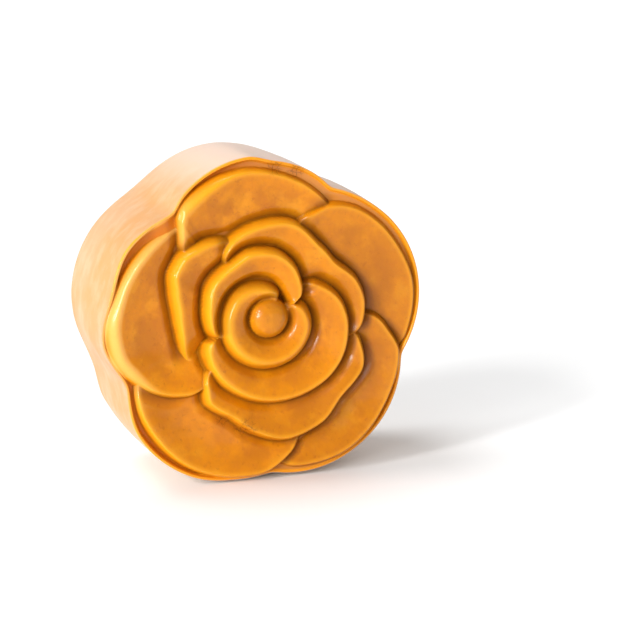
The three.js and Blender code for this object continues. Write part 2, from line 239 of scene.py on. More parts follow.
@dataclass(frozen=True)
class Body:
    """The pressed body behind the rose: five lobes, a swelling wall and a rounded base edge."""

    thickness: float = 35.0
    wall_bulge: float = 1.0
    bulge_share: float = 0.62
    base_round: float = 5.0
    standing_cut: float = 0.6
    standing_blend: float = 0.25
    fold_softness: float = 0.35
    fold_fading: float = 1.6
    lip_round: float = 0.3
    downward_sine: float = -0.2
    measured_depth: float = 30.0
    measured_rows: int = 61
    measures_per_degree: int = 4
    lobes: tuple[Lobe, ...] = (
        Lobe(25.0, 38.5, 25.5),
        Lobe(97.5, 38.0, 23.2, 0.5),
        Lobe(167.0, 38.3, 25.5, -5.5),
        Lobe(232.0, 37.6, 27.4, 1.5),
        Lobe(307.0, 37.8, 25.5),
    )
    uneven_lip: ClosedCurve = ClosedCurve(
        [
            (42, -0.4), (72, 0.4), (88, 0.1), (98, 1.2), (122, 1.3), (133, 0.6), (148, 1.0),
            (166, -0.4), (183, 1.1), (197, -0.1), (218, 1.5), (240, 1.1), (258, 0.2),
        ]
    )
    uneven_base: ClosedCurve = ClosedCurve(
        [(0, 0), (100, -0.2), (170, 0), (201, -1), (214, -0.1), (230, -0.3), (275, 0)]
    )
    lip_drop: ClosedCurve = ClosedCurve(
        [
            (15, 0.2), (60, 0.3), (97, 0), (133, 0.4), (150, 0), (164, 0.3), (182, 1.2),
            (194, 1.1), (203, 0.5), (215, 0.1), (245, 0.2), (262, 0.9), (300, 1.1), (330, 0.5),
        ]
    )

    def outline(self, direction: Array, share: Array) -> Array:
        """Reach of the lobed outline before the wall swells.

        Each lobe is a circle seen from the middle of the cake: m cos a + sqrt(r^2 - (m sin a)^2).
        The outline is the largest of them, softened as a sum of exponentials, more so towards the
        base, plus an uneven part that runs straight from the lip's curve to the base's.

        Args:
            direction: Directions in degrees.
            share: Share of the way from the lip to the base.

        Returns:
            Reaches in millimetres.
        """
        reaches = []
        for lobe in self.lobes:
            middle = lobe.reach - lobe.radius
            angle = np.radians(direction - lobe.direction - lobe.drift * share)
            across = middle * np.sin(angle)
            reaches.append(middle * np.cos(angle) + np.sqrt(lobe.radius**2 - across**2))
        softness = self.fold_softness + self.fold_fading * share
        even = softness * np.logaddexp.reduce(np.stack(reaches) / softness, axis=0)
        return even + (1.0 - share) * self.uneven_lip(direction) + share * self.uneven_base(direction)

    def bulge(self, depth: Array) -> Array:
        """How far the wall stands out past the lip: a parabola s (2 - s) that peaks at s = 1.

        Args:
            depth: Depths behind the plane of the lip.

        Returns:
            The swell in millimetres.
        """
        peak = self.bulge_share * self.thickness
        share = np.clip((depth - self.lip_round) / (peak - self.lip_round), 0.0, 2.0)
        return self.wall_bulge * share * (2.0 - share)

    def measures(self, first: float, last: float) -> tuple[Array, Array]:
        """A fine grid of points on the wall, for measuring it.

        Args:
            first: First direction in degrees.
            last: Last direction in degrees.

        Returns:
            The directions and the depths of the points.
        """
        steps = int((last - first) * self.measures_per_degree)
        rows = np.linspace(0.0, self.measured_depth, self.measured_rows)
        return tuple(np.meshgrid(np.linspace(first, last, steps + 1), rows))

    @cached_property
    def ground(self) -> float:
        """Height of the surface that the cake stands on, in the working frame.

        Returns:
            The height of the wall's lowest point before the cake settles, plus the cut.
        """
        directions, depths = self.measures(FULL_TURN / 2.0, FULL_TURN)
        reach = self.outline(directions, depths / self.thickness) + self.bulge(depths)
        return float((reach * sine(directions)).min()) + self.standing_cut

    def middle_across(self) -> float:
        """Place across of the middle of the cake's width, in the working frame.

        Returns:
            The mean of the leftmost and the rightmost place of the wall.
        """
        directions, depths = self.measures(0.0, FULL_TURN)
        across = self.reach(directions, depths) * cosine(directions)
        return float(across.min() + across.max()) / 2.0

    def reach(self, direction: Array, depth: Array) -> Array:
        """Reach of the wall, settled flat where it stands.

        The outline plus the swell, and no further than ground divided by the sine of the direction.

        Args:
            direction: Directions in degrees.
            depth: Depths behind the plane of the lip.

        Returns:
            Reaches in millimetres.
        """
        free = self.outline(direction, depth / self.thickness) + self.bulge(depth)
        down = np.minimum(sine(direction), self.downward_sine)
        return -smooth_max(-free, -self.ground / down, self.standing_blend)


# The rose


@dataclass(frozen=True)
class Section:
    """Section of a petal, from its foot inward.

    Crest height, width and fall of the flank and the power of its curve, dip and length of the
    bowl and how hollow it is, depth of the moat that the petal presses along its foot, and how
    golden its flank is.
    """

    crest: float
    flank: float
    fall: float
    power: float
    dip: float
    slope: float
    hollow: float
    moat: float
    gilding: float


class Ring(Enum):
    """The rings of the rose, from the outside in."""

    OUTER = Section(1.0, 1.2, 2.4, 1.4, 2.0, 9.0, 0.8, 0.5, 0.8)
    MIDDLE = Section(2.0, 1.4, 2.9, 1.5, 1.9, 6.0, 0.5, 0.8, 0.9)
    SWEEP = Section(2.8, 1.5, 3.0, 1.6, 2.0, 7.0, 0.1, 0.9, 1.0)
    CRESCENT = Section(3.4, 1.5, 3.0, 1.6, 1.9, 5.0, 0.3, 0.8, 0.9)
    COIL = Section(3.6, 2.3, 3.1, 1.9, 1.8, 4.0, -0.3, 1.2, 0.9)


@dataclass
class Layers:
    """The rose while it is laid: its height, and masks of shade, gold, amber and bare groove."""

    height: Array
    shade: Array
    gold: Array
    amber: Array
    bare: Array

    def covered(self, height: Array, share: Array, gold: Array, amber: Array) -> "Layers":
        """The layers with something laid over them.

        Args:
            height: Heights with the new thing.
            share: How fully it covers what was there.
            gold: Its mask of gold.
            amber: Its mask of amber.

        Returns:
            The new layers.
        """
        rest = 1.0 - share
        gold = self.gold * rest + gold * share
        amber = self.amber * rest + amber * share
        return Layers(height, self.shade * rest, gold, amber, self.bare * rest)


@dataclass(frozen=True)
class Laying:
    """How every petal is laid: its hidden ends, its edges, and the moat along its foot.

    A span runs from where a mask is 0 to where it is 1.
    """

    tuck_spread: float = 26.0
    hidden_reach: float = 8.0
    hidden_step: float = 7.0
    hidden_drop: float = 4.0
    lean_step: float = 0.5
    steepest: float = 0.4
    end_fading: float = 11.0
    shown_fading: float = 1.5
    inner_flank: float = 1.6
    inner_fall: float = 1.8
    crest_blend: float = 0.8
    cover: float = 0.6
    plunge: float = 3.0
    deepest: float = -1.8
    moat_width: float = 2.6
    rise_span: Span = (-0.35, 0.2)
    foot_span: Span = (0.25, -0.1)


@dataclass(frozen=True)
class ShadeAndTones:
    """How every petal is tinted: the painted shade beside it, and the gold and amber on it.

    The directions are those in which a petal's edge counts as its right side, away from the light.
    The gold, partly painted light, starts and fills at shares of the flank, each given for the left
    side and for the right.
    """

    shade_width: float = 4.0
    down_sines: Span = (0.2, 0.9)
    down_narrowing: float = 0.5
    down_fading: float = 0.25
    gold_width: float = 1.0
    amber_width: float = 5.0
    right_direction: float = -20.0
    outer_right_direction: float = 5.0
    right_cosines: Span = (-0.1, 0.6)
    right_fading: float = 0.35
    gold_starts: Span = (0.05, 0.65)
    gold_fills: Span = (0.5, 1.0)


@dataclass
class Petal:
    """One petal, laid over those before it.

    Its edge is a list of directions and reaches from the middle of the bud. Where other petals
    cover it, it runs in under them and sinks. Its tucks are directions where the crest goes under
    a neighbour, with how far it drops there. Its flanks are directions and widths of the flank
    where it isn't the ring's. Its inner edge is given where it lies over the next petal.
    """

    name: str
    ring: Ring
    edge: list[tuple[float, float]]
    tucks: list[tuple[float, float]] = field(default_factory=list)
    flanks: list[tuple[float, float]] = field(default_factory=list)
    inner: list[tuple[float, float]] = field(default_factory=list)
    closed: bool = False
    shown_from: float | None = None
    moat_share: float = 1.0
    fillet: float = 0.4

    laying: ClassVar[Laying] = Laying()
    shade_and_tones: ClassVar[ShadeAndTones] = ShadeAndTones()

    def __post_init__(self) -> None:
        """Makes the curves of the edges."""
        knots = list(self.edge)
        if not self.closed:
            step, reach = self.laying.hidden_step, self.laying.hidden_reach
            knots.insert(0, (self.edge[0][0] - step, reach))
            knots.append((self.edge[-1][0] + step, reach))
        self.edge_at = ClosedCurve(knots)
        self.inner_at = ClosedCurve(self.inner) if self.inner else None
        self.flank_at = ClosedCurve(self.flanks) if self.flanks else None
        self.first = self.edge[0][0] if self.shown_from is None else self.shown_from

    def beyond(self, direction: Array) -> Array:
        """How far each direction is past the nearer visible end of the petal.

        Args:
            direction: Directions from the middle of the rose in degrees.

        Returns:
            Degrees past the end, less than 0 between the ends.
        """
        if self.closed:
            return np.full_like(direction, -FULL_TURN)
        last = self.edge[-1][0]
        half = np.mod(last - self.first, FULL_TURN) / 2.0
        return np.abs(direction_from(direction, self.first + half)) - half

    def inside(self, direction: Array, distance: Array) -> Array:
        """How far inward from the foot: the rest of the reach, times the cosine of the edge's lean.

        Args:
            direction: Directions from the middle of the rose in degrees.
            distance: Distances from the middle of the rose.

        Returns:
            Distances inward, less than 0 outside the foot.
        """
        step = self.laying.lean_step
        reach = self.edge_at(direction)
        rise = self.edge_at(direction + step) - self.edge_at(direction - step)
        slope = rise / np.radians(2.0 * step) / reach
        return (reach - distance) * np.maximum(self.laying.steepest, 1.0 / np.hypot(1.0, slope))

    def sink(self, direction: Array) -> Array:
        """How far the crest sinks: by a cosine where it tucks in, and eased past its ends.

        Args:
            direction: Directions from the middle of the rose in degrees.

        Returns:
            Depths in millimetres.
        """
        laying = self.laying
        drop = laying.hidden_drop * smoothstep(self.beyond(direction), 0.0, laying.hidden_step)
        for middle, depth in self.tucks:
            away = np.abs(direction_from(direction, middle))
            share = np.clip(away / laying.tuck_spread, 0.0, 1.0)
            drop = drop + depth * (1.0 + np.cos(np.pi * share)) / 2.0
        return drop

    def profile(self, inside: Array, flank: Array) -> Array:
        """Depth below the crest.

        The deeper one of the flank's fall, which is the fall times a power of the share of the
        flank that is left, and the bowl's dip, which is the dip times u (1 + h - h u), where u is
        the share of the slope inward from the crest and h is how hollow the bowl is. They are
        blended where they cross.

        Args:
            inside: Distances inward from the foot.
            flank: Widths of the flank.

        Returns:
            Depths in millimetres.
        """
        section = self.ring.value
        left = np.clip(1.0 - inside / flank, 0.0, 1.0)
        outside = np.clip(-inside, 0.0, None)
        fall = section.fall * left**section.power + self.laying.plunge * outside
        share = np.clip((inside - flank) / section.slope, -1.0, 1.0)
        bend = section.hollow * np.clip(share, 0.0, None)
        dip = section.dip * share * (1.0 + section.hollow - bend)
        return smooth_max(fall, dip, self.laying.crest_blend)

    def shade(self, direction: Array, away: Array) -> Array:
        """Shade beside the foot: the square of an eased nearness, less where the edge faces down.

        Args:
            direction: Directions from the middle of the rose in degrees.
            away: Distances outward from the foot.

        Returns:
            A mask of the shade.
        """
        look = self.shade_and_tones
        down = smoothstep(-sine(direction), *look.down_sines)
        width = look.shade_width * (1.0 - look.down_narrowing * down)
        near = 1.0 - smoothstep(away, 0.0, width)
        return near * near * (1.0 - look.down_fading * down)

    def gold(self, direction: Array, inside: Array, flank: Array) -> Array:
        """Gold on the flank, partly painted light, which lies further in and is fainter at the right.

        It is partly the crust's own golden tone; the right side is away from the light. It is the
        product of its rise over a part of the flank, its fall past the crest, and how golden the ring
        is.

        Args:
            direction: Directions from the middle of the rose in degrees.
            inside: Distances inward from the foot.
            flank: Widths of the flank.

        Returns:
            A mask of the gold.
        """
        look = self.shade_and_tones
        facing = cosine(direction - look.right_direction)
        if self.ring is Ring.OUTER:
            facing = np.maximum(facing, cosine(direction - look.outer_right_direction))
        right = smoothstep(facing, *look.right_cosines)
        starts, fills = between(look.gold_starts, right), between(look.gold_fills, right)
        rise = smoothstep(inside, starts * flank, fills * flank)
        fall = smoothstep(inside, flank + look.gold_width, flank)
        return self.ring.value.gilding * fall * rise * (1.0 - look.right_fading * right)

    def laid_over(self, below: Layers, direction: Array, distance: Array) -> Layers:
        """Lays this petal over what is there.

        What is there is first pressed down in a moat along the petal's foot. Then the petal's own
        height holds over its bowl, and the larger height over its flank and near its ends.

        Args:
            below: The rose before it.
            direction: Directions from the middle of the rose in degrees.
            distance: Distances from the middle of the rose.

        Returns:
            The rose with the petal.
        """
        section, laying = self.ring.value, self.laying
        flank = section.flank if self.flank_at is None else self.flank_at(direction)
        inside = self.inside(direction, distance)
        beyond = self.beyond(direction)
        shown = 1.0 - smoothstep(beyond, 0.0, laying.shown_fading)
        within = smoothstep(-beyond, 0.0, laying.end_fading)
        own = section.crest - self.sink(direction) - self.profile(inside, flank)
        away = -inside
        if self.inner_at is not None:
            outside = distance - self.inner_at(direction)
            left = np.clip(1.0 - outside / laying.inner_flank, 0.0, 1.0)
            own = own - laying.inner_fall * left**section.power
            own = own - laying.plunge * np.clip(-outside, 0.0, None)
            away = np.maximum(away, -outside)
        moat = section.moat * self.moat_share * within
        moat = moat * (1.0 - smoothstep(away, 0.0, laying.moat_width))
        pressed = np.maximum(below.height - moat, np.minimum(below.height, laying.deepest))
        over = smooth_max(pressed, own, self.fillet)
        on_top = smoothstep(own - pressed, *laying.rise_span) * smoothstep(away, *laying.foot_span)
        if self.inner_at is None:
            bowl = smoothstep(inside, flank - laying.cover, flank) * within
            over = over + (own - over) * bowl
            on_top = np.maximum(on_top, bowl)
        shade = np.maximum(below.shade, within * self.shade(direction, away))
        gold = self.gold(direction, inside, flank) * shown
        amber = smoothstep(inside, flank + self.shade_and_tones.amber_width, flank) * shown
        return replace(below, shade=shade).covered(over, on_top, gold, amber)


LOWER_RIGHT = Petal(
    "lower right",
    Ring.OUTER,
    [
        (271, 33), (285, 38), (304, 39.6), (330, 37.4), (343, 35.4), (351, 31.5), (357, 28),
        (0, 24),
    ],
    tucks=[(278, 0.7)],
)


CRESCENT = Petal(
    "crescent",
    Ring.CRESCENT,
    [
        (18, 7.6), (31, 10.6), (47, 12.5), (63, 14.3), (84, 15.9), (104, 16.3), (122, 15.7),
        (145, 16), (165, 15.1), (188, 14.1), (203, 12.2),
    ],
    tucks=[(205, 0.7)],
)


@dataclass(frozen=True)
class Rose:
    """The moulded rose: petals laid one over the other round a bud."""

    middle_x: float = -1.4
    middle_z: float = 2.5
    bud_x: float = -0.6
    bud_z: float = 2.4
    bud_radius: float = 4.6
    bud_crest: float = 3.8
    bud_fall: float = 2.6
    bud_power: float = 3.6
    bud_moat: float = 1.2
    bud_moat_width: float = 2.0
    bud_edge: float = 0.1
    bud_gold: float = 0.15
    groove: ClosedCurve = ClosedCurve(
        [
            (20, -0.8), (50, -0.7), (85, -0.6), (110, -1.3), (128, -0.8), (135, -0.2),
            (142, -0.9), (155, -1.4), (168, -1.2), (185, -1.7), (200, -1.4), (207, -1.0),
            (235, -1.6), (255, -1.2), (270, -0.5), (300, -0.7), (345, -0.8),
        ]
    )
    petals: tuple[Petal, ...] = (
        LOWER_RIGHT,
        Petal(
            "lower left",
            Ring.OUTER,
            [
                (198, 30), (207, 34.2), (220, 36.8), (246, 38.9), (268, 37.7), (281, 34),
                (289, 29.8), (293, 26),
            ],
            tucks=[(202, 0.7)],
        ),
        Petal(
            "left",
            Ring.OUTER,
            [
                (122, 27), (143, 31.8), (156, 33.8), (168, 35.3), (182, 36.8), (192, 36.3),
                (200, 34.6), (209, 31.7), (222, 26.4), (229, 22),
            ],
            tucks=[(128, 1.6)],
            flanks=[(134, 1.3), (150, 1.7), (165, 2.1), (182, 2.9), (198, 2.8), (212, 1.2)],
        ),
        Petal(
            "top",
            Ring.OUTER,
            [
                (44, 29), (60, 30.5), (75, 32.4), (99, 34.2), (121, 33.4), (127, 32.6),
                (130.5, 31.3), (133.5, 29.3), (137, 27.2), (141, 25.3), (150, 21),
            ],
            tucks=[(46, 0.6)],
            flanks=[(98, 1.2), (112, 2.3), (122, 2.9), (128, 2.3), (134, 1.3), (150, 1.1)],
        ),
        Petal(
            "right",
            Ring.OUTER,
            [
                (338, 31), (348, 36.3), (8, 37.6), (26, 36.2), (45, 33.7), (57, 30.4), (63, 27.2),
                (69, 23.6),
            ],
            tucks=[(350, 0.7)],
        ),
        replace(LOWER_RIGHT, name="lower right, its upper end", shown_from=312, fillet=0.02),
        Petal(
            "middle left",
            Ring.MIDDLE,
            [
                (107, 19), (117, 21), (130, 23.3), (144, 25.2), (152, 25.1), (162, 23.4),
                (176, 21.4), (190, 20.7), (206, 20.9), (211, 20),
            ],
            tucks=[(112, 0.6), (214, 3.4)],
            flanks=[(120, 1.3), (140, 1.9), (165, 2.0), (195, 1.3)],
        ),
        Petal(
            "middle bottom",
            Ring.MIDDLE,
            [
                (221, 19.1), (228, 22.1), (236, 24.2), (250, 24.9), (264, 27.6), (283, 30.3),
                (298, 30), (315, 28), (329, 28.3), (344, 25), (352, 21),
            ],
            tucks=[(350, 0.7)],
        ),
        Petal(
            "middle top",
            Ring.MIDDLE,
            [
                (344, 22.6), (354, 24.6), (5, 25), (18, 24.1), (38, 21.2), (50, 21.3), (73, 23),
                (92, 21.9), (114, 20.1), (124, 18.1), (129, 15.6),
            ],
        ),
        Petal(
            "sweep",
            Ring.SWEEP,
            [
                (200, 15.2), (218, 17.3), (249, 19.1), (284, 20.8), (325, 22.1), (350, 21),
                (8, 19.2), (26, 16.1), (42, 12.4),
            ],
            tucks=[(46, 0.7)],
        ),
        CRESCENT,
        Petal(
            "coil",
            Ring.COIL,
            [
                (32, 8), (44, 6), (57, 6.8), (70, 7.6), (96, 8.5), (136, 9.9), (186, 10.9),
                (234, 11.6), (302, 12.3), (341, 11.8), (11, 10.3),
            ],
            tucks=[(40, 1.2)],
            closed=True,
        ),
        replace(
            CRESCENT,
            name="crescent, its tip",
            inner=[(18, 5.4), (37, 6), (50, 6.5), (62, 7.4), (83, 8.8), (108, 9.7), (185, 11.4)],
            moat_share=0.5,
            fillet=0.02,
        ),
    )

    def lay(self, x: Array, z: Array) -> Layers:
        """Lays the rose: the groove's floor, the petals in order, and then the bud.

        Args:
            x: Places across.
            z: Places up.

        Returns:
            Heights in front of the plane of the lip, and masks.
        """
        direction = direction_of(x - self.middle_x, z - self.middle_z)
        distance = np.hypot(x - self.middle_x, z - self.middle_z)
        none = np.zeros_like(x)
        rose = Layers(self.groove(direction_of(x, z)), none, none, none, none + 1.0)
        for petal in self.petals:
            rose = petal.laid_over(rose, direction, distance)
        off = np.hypot(x - self.bud_x, z - self.bud_z)
        outside = np.clip(off - self.bud_radius, 0.0, None)
        near = 1.0 - smoothstep(outside, 0.0, self.bud_moat_width)
        share = np.clip(off / self.bud_radius, 0.0, 1.0)
        fall = self.bud_fall * share**self.bud_power + Petal.laying.plunge * outside
        # Painted shade in the moat round the bud.
        rose.shade = np.maximum(rose.shade, near)
        pressed = rose.height - self.bud_moat * near
        height = smooth_max(pressed, self.bud_crest - fall, Petal.fillet)
        share = smoothstep(outside, self.bud_edge, 0.0)
        return rose.covered(height, share, none + self.bud_gold, none)


# The cake


@dataclass(frozen=True)
class Grid:
    """How finely the cake is meshed."""

    sectors: int = 6
    rings: int = 148
    disc_gap: float = 0.15
    lip_insets: tuple[float, ...] = (1.2, 1.02, 0.86, 0.72, 0.6, 0.45, 0.3)
    lip_turns: tuple[float, ...] = (60.0, 30.0)
    wall_depths: tuple[float, ...] = (
        0.35, 0.8, 1.4, 2.3, 3.6, 5.4, 8.0, 11.0, 14.5, 18.0, 21.5, 25.0, 27.7,
    )
    corner_steps: int = 7
    base_shares: tuple[float, ...] = (0.8, 0.55, 0.3, 0.12)

    @property
    def columns(self) -> int:
        """How many points there are round the cake."""
        return self.sectors * self.rings


@dataclass
class Shell:
    """Points and faces of a mesh, with masks for its finish."""

    points: Array
    triangles: Array
    quads: Array
    normals: Array
    masks: dict[str, Array]


@dataclass(frozen=True)
class Unevenness:
    """Ripples of the crust: how high they are, and the spans over which they fade in."""

    face_height: float = 0.06
    detail_share: float = 0.5
    face_insets: Span = (0.8, 3.0)
    wall_height: float = 0.14
    wall_mean: float = 0.55
    swell_share: float = 0.5
    wave_share: float = 0.3
    lip_depths: Span = (0.3, 5.0)
    base_depths: Span = (35.0, 27.0)
    ground_heights: Span = (0.5, 4.0)
    wave: Ripple = Ripple(4, 9.0)
    detail: Ripple = Ripple(7, 3.4)
    swell: Ripple = Ripple(11, 17.0)

    def on_face(self, x: Array, z: Array, inset: Array) -> Array:
        """Height of the ripple on the front, which fades out towards the lip.

        Args:
            x: Places across.
            z: Places up.
            inset: Distances inward from the outline.

        Returns:
            Heights in millimetres.
        """
        places = np.stack([x, np.zeros_like(x), z], axis=-1)
        ripple = self.wave(places) + self.detail_share * self.detail(places)
        return self.face_height * ripple * smoothstep(inset, *self.face_insets)

    def on_wall(self, points: Array, ground: float) -> Array:
        """How far the wall lies inward, which fades out at the lip, the base and the ground.

        Args:
            points: Places on the wall and the base.
            ground: Height of the surface that the cake stands on.

        Returns:
            Distances in millimetres.
        """
        depth = points[:, 1]
        wall = smoothstep(depth, *self.lip_depths) * smoothstep(depth, *self.base_depths)
        high = smoothstep(points[:, 2] - ground, *self.ground_heights)
        uneven = self.swell_share * self.swell(points) + self.wave_share * self.wave(points)
        return self.wall_height * wall * high * (self.wall_mean + uneven)


@dataclass(frozen=True)
class PaintedLightAndCracks:
    """Painted shade, painted light and cracks on the front, in directions from the middle of the
    cake.

    A span runs from where a mask is 0 to where it is 1.
    """

    lip_insets: Span = (1.3, 0.7)
    side_depths: Span = (0.05, 1.0)
    # Painted shade in the creases: the radius of the circle that finds them, its step, and depths.
    seam_radius: float = 0.6
    seam_turn: float = 45.0
    seam_depths: Span = (0.03, 0.35)
    # Painted light at the left: its direction, turns, insets and share of gold.
    pale_direction: float = 165.0
    pale_turns: Span = (52.0, 20.0)
    pale_insets: Span = (9.0, 6.0)
    pale_gold: float = 0.8
    # Strength of the painted shade, which swings with direction, and less of it in the lit groove.
    shade_mean: float = 0.8
    shade_swing: float = 0.14
    shade_direction: float = 15.0
    lit_direction: float = 60.0
    lit_cosines: Span = (0.6, 0.95)
    lit_fading: float = 0.6
    # Painted shade on the outer bowls at the right, away from the light.
    right_shade_direction: float = -20.0
    right_shade_cosines: Span = (0.0, 0.8)
    right_shade_reaches: Span = (17.0, 24.0)
    crack_spots: tuple[tuple[float, float, float], ...] = (
        (-6.0, -23.0, 3.5),
        (-11.0, -21.0, 2.5),
        (1.5, 36.5, 3.0),
        (6.5, 35.5, 3.0),
    )

    def pale(self, direction: Array, inset: Array, gold: Array, lip: Array) -> Array:
        """Painted light on the pale flanks and lip at the left, which face the light, fading inward.

        Args:
            direction: Directions in degrees.
            inset: Distances inward from the outline.
            gold: The mask of gold.
            lip: The mask of the lip.

        Returns:
            The mask.
        """
        left = smoothstep(np.abs(direction_from(direction, self.pale_direction)), *self.pale_turns)
        raised = np.clip(gold / self.pale_gold + lip, 0.0, 1.0)
        return left * smoothstep(inset, *self.pale_insets) * raised

    def shading(self, direction: Array, bare: Array) -> Array:
        """How strong the painted shade is: most at the right, and less in the lit groove at the upper
        right.

        Args:
            direction: Directions in degrees.
            bare: The mask of the bare groove.

        Returns:
            A factor for the shade.
        """
        strength = cosine(direction - self.shade_direction)
        lit = smoothstep(cosine(direction - self.lit_direction), *self.lit_cosines)
        return (self.shade_mean + self.shade_swing * strength) * (1.0 - self.lit_fading * bare * lit)

    def baked(self, direction: Array, reach: Array) -> Array:
        """Painted shade on the outer bowls at the right, away from the light.

        Args:
            direction: Directions in degrees.
            reach: Distances from the middle of the cake.

        Returns:
            The mask.
        """
        facing = cosine(direction - self.right_shade_direction)
        return smoothstep(facing, *self.right_shade_cosines) * smoothstep(reach, *self.right_shade_reaches)

    def cracked(self, x: Array, z: Array) -> Array:
        """Mask of the cracked spots: 1 in the middle of each and 0 past its radius.

        Args:
            x: Places across.
            z: Places up.

        Returns:
            The mask.
        """
        mask = np.zeros_like(x)
        for spot_x, spot_z, radius in self.crack_spots:
            off = np.hypot(x - spot_x, z - spot_z)
            mask = np.maximum(mask, smoothstep(off, radius, 0.0))
        return mask


@dataclass
class Mooncake:
    """The whole cake: one closed crust, from the rose round the wall to the base."""

    name: str = "cake"
    node: str = "mooncake"
    slot: str = "crust"
    body: Body = field(default_factory=Body)
    rose: Rose = field(default_factory=Rose)
    grid: Grid = field(default_factory=Grid)
    unevenness: Unevenness = field(default_factory=Unevenness)
    painted_light_and_cracks: PaintedLightAndCracks = field(default_factory=PaintedLightAndCracks)
    lip_width: float = 0.65
    lip_slope: float = 3.4
    lip_fillet: float = 0.25
    slant_step: float = 0.12

    def front(self, x: Array, z: Array) -> Layers:
        """The whole front: the rose, and the lip, which slopes down into the groove.

        Args:
            x: Places across.
            z: Places up.

        Returns:
            Heights and masks.
        """
        direction = direction_of(x, z)
        inset = self.body.reach(direction, np.zeros_like(x)) - np.hypot(x, z)
        drop = self.lip_slope * (inset - self.lip_width)
        lip = -self.body.lip_drop(direction) - smooth_max(np.zeros_like(x), drop, self.lip_fillet)
        rose = self.rose.lay(x, z)
        height = smooth_max(rose.height, lip, self.lip_fillet)
        return replace(rose, height=height + self.unevenness.on_face(x, z, inset))

    def hollow(self, x: Array, z: Array, height: Array) -> Array:
        """How far a point lies under the mean height of a circle of points round it.

        Args:
            x: Places across.
            z: Places up.
            height: Heights there.

        Returns:
            Depths in millimetres, positive in a hollow and negative on a crest.
        """
        radius = self.painted_light_and_cracks.seam_radius
        turns = np.arange(0.0, FULL_TURN, self.painted_light_and_cracks.seam_turn)
        around = [self.front(x + radius * cosine(t), z + radius * sine(t)).height for t in turns]
        return np.mean(around, axis=0) - height

    def disc(self) -> tuple[Array, Array, Array]:
        """A disc in six sectors, whose ring k has 6 k evenly spaced points.

        Returns:
            Direction in degrees and share of the radius of each point, and the triangles.
        """
        sectors = self.grid.sectors
        rings = np.arange(1, self.grid.rings + 1)
        ring = np.repeat(rings, sectors * rings)
        index = np.arange(1, len(ring) + 1)
        begin = 1 + sectors * ring * (ring - 1) // 2
        place = index - begin
        direction = FULL_TURN * place / (sectors * ring)
        share = ring / self.grid.rings

        sector, step = place // ring, place % ring
        inner = ring - 1
        count = np.maximum(sectors * inner, 1)
        start = np.where(inner > 0, begin - count, 0)
        under = start + (sector * inner + step) % count
        before = start + (sector * inner + step - 1) % count
        after = begin + (place + 1) % (sectors * ring)
        outward = np.stack([under, index, after], axis=1)
        inward = np.stack([before, index, under], axis=1)[step > 0]
        triangles = np.concatenate([outward, inward])
        return np.append(0.0, direction), np.append(0.0, share), triangles

    def sleeve(self) -> tuple[Array, Array, Array]:
        """Rows of the lip, the wall, the rounded edge and the base, outside the disc.

        Returns:
            Each row's inset from the outline, its depth and its share of the flat base.
        """
        grid, body = self.grid, self.body
        turns = np.array(grid.lip_turns)
        corner = np.linspace(0.0, FULL_TURN / 4.0, grid.corner_steps)
        shares = np.array(grid.base_shares)
        lip_insets = np.array(grid.lip_insets)
        inset = [
            lip_insets,
            body.lip_round * (1.0 - cosine(turns)),
            np.zeros(len(grid.wall_depths)),
            body.base_round * (1.0 - cosine(corner)),
            np.full(len(shares), body.base_round),
        ]
        depth = [
            np.zeros(len(lip_insets)),
            body.lip_round * (1.0 - sine(turns)),
            np.array(grid.wall_depths),
            body.thickness - body.base_round * (1.0 - sine(corner)),
            np.full(len(shares), body.thickness),
        ]
        spread = np.concatenate([np.ones(sum(map(len, inset)) - len(shares)), shares])
        return np.concatenate(inset), np.concatenate(depth), spread

    def shell(self) -> Shell:
        """Places every point of the crust.

        On the disc and the lip a point lies at a share of the outline less its inset, with the
        front's height. On the wall it lies at the body's reach less its inset, at its depth.

        Returns:
            The closed mesh with its masks.
        """
        grid, body = self.grid, self.body
        direction, share, triangles = self.disc()
        rim = body.reach(direction, np.zeros_like(direction)) - (grid.lip_insets[0] + grid.disc_gap)
        disc_x = share * rim * cosine(direction)
        disc_z = share * rim * sine(direction)

        inset, depth, spread = self.sleeve()
        columns = grid.columns
        around = FULL_TURN * np.arange(columns) / columns
        turn, row_depth = np.meshgrid(around, depth)
        reach = (body.reach(turn, row_depth) - inset[:, None]) * spread[:, None]
        wall_x = reach * cosine(turn)
        wall_z = reach * sine(turn)
        lip_drop = body.lip_drop(turn)
        wall_y = lip_drop + row_depth * (1.0 - lip_drop / body.thickness)
        lip_rows = len(grid.lip_insets)
        wall_y[:lip_rows] = -self.front(wall_x[:lip_rows], wall_z[:lip_rows]).height

        disc_y = -self.front(disc_x, disc_z).height
        x = np.concatenate([disc_x, wall_x.ravel(), [0.0]])
        z = np.concatenate([disc_z, wall_z.ravel(), [0.0]])
        y = np.concatenate([disc_y, wall_y.ravel(), [body.thickness]])
        points = np.stack([x, y, z], axis=1)

        disc_count = len(direction)
        ring_start = disc_count - columns
        rows = ring_start + columns * np.arange(len(depth) + 1)
        here = np.arange(columns)
        there = (here + 1) % columns
        first, left = np.meshgrid(rows[:-1], here, indexing="ij")
        right = np.broadcast_to(there, left.shape)
        second = first + columns
        quads = np.stack([first + left, second + left, second + right, first + right], axis=-1)
        last = rows[-1]
        middle = np.full(columns, len(points) - 1)
        cap = np.stack([last + here, middle, last + there], axis=1)

        front_count = disc_count + lip_rows * columns
        masks = self.masks(points, front_count)
        normals = self.slants(points, front_count - columns)
        points = self.uneven(points, front_count)
        faces = np.concatenate([triangles, cap])
        return Shell(points, faces, quads.reshape(-1, 4), normals, masks)

